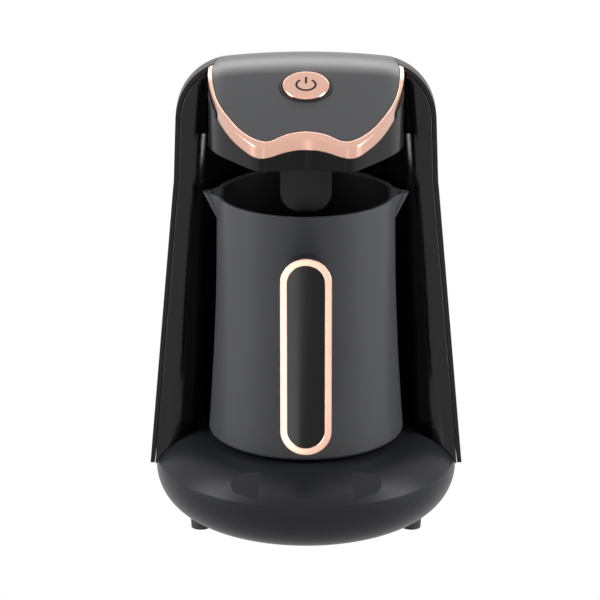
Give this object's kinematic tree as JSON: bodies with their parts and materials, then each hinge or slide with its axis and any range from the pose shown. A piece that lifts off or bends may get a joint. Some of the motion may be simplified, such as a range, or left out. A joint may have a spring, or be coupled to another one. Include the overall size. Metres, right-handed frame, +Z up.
{
  "type": "electric turkish coffee maker",
  "caption": "Electric Turkish coffee maker: a heated pull-out pot with two spouts and a capsule handle in a hooded stand with a top power button.",
  "frame": {"origin": "centre of the footprint on the surface that the feet stand on", "axes": "+Z up, -Y towards the front where the pot's handle is, +X to the right seen from the front"},
  "size_m": [0.157, 0.18, 0.233],
  "materials": {
    "black_satin": "satin moulded plastic, dark charcoal",
    "black_gloss": "high gloss black moulded plastic",
    "black_matte": "matt black moulded plastic",
    "grey_satin": "satin dark grey moulded plastic",
    "pot_enamel": "satin dark grey coating on steel",
    "nonstick": "black non-stick coating",
    "rose_gold": "rose gold plated plastic",
    "rubber_feet": "black rubber",
    "steel": "plain steel",
    "window_smoke": "dark infrared window",
    "circuit_board": "green circuit board",
    "nylon": "natural nylon",
    "brass_contact": "plated brass contact",
    "aluminium_plate": "plain aluminium"
  },
  "bodies": {
    "root": {"base_housing": "black_satin", "base_plate": "black_satin", "feet": "rubber_feet", "base_screws": "steel", "pot_rest_ring": "black_matte", "rear_shell": "black_satin", "cord_gland": "black_matte", "front_frame": "black_gloss", "control_board": "circuit_board", "tact_switch": "black_matte", "buzzer": "black_matte", "sensor_housing": "black_matte", "sensor_window": "window_smoke", "sensor_board": "circuit_board", "power_board": "circuit_board", "relay": "black_matte", "transformer": "black_matte", "terminal_block": "nylon", "head_front": "grey_satin", "top_trim": "rose_gold", "top_lid": "grey_satin", "button_bezel": "black_matte", "button_spring": "steel", "dock_socket": "black_matte", "dock_contacts": "brass_contact"},
    "pot": {"pot_shell": "pot_enamel", "pot_liner": "nonstick", "handle_body": "black_satin", "handle_trim": "rose_gold", "handle_insert": "black_gloss", "heater_plate": "aluminium_plate", "heater_element": "steel", "thermostat": "steel", "pot_base_cover": "black_matte", "pot_plug": "black_matte", "pot_plug_pins": "brass_contact"},
    "button": {"power_button": "rose_gold"}
  },
  "joints": [
    {"name": "pot_slide", "type": "slide", "parent": "root", "child": "pot", "axis": [0, -1, 0], "range_m": [0, 0.17]},
    {"name": "button_press", "type": "slide", "parent": "root", "child": "button", "axis": [0, 0.3502, -0.9367], "range_m": [0, 0.0016], "stiffness_N_per_m": 600, "springref_m": -0.002, "deforming": ["button_spring"]}
  ]
}
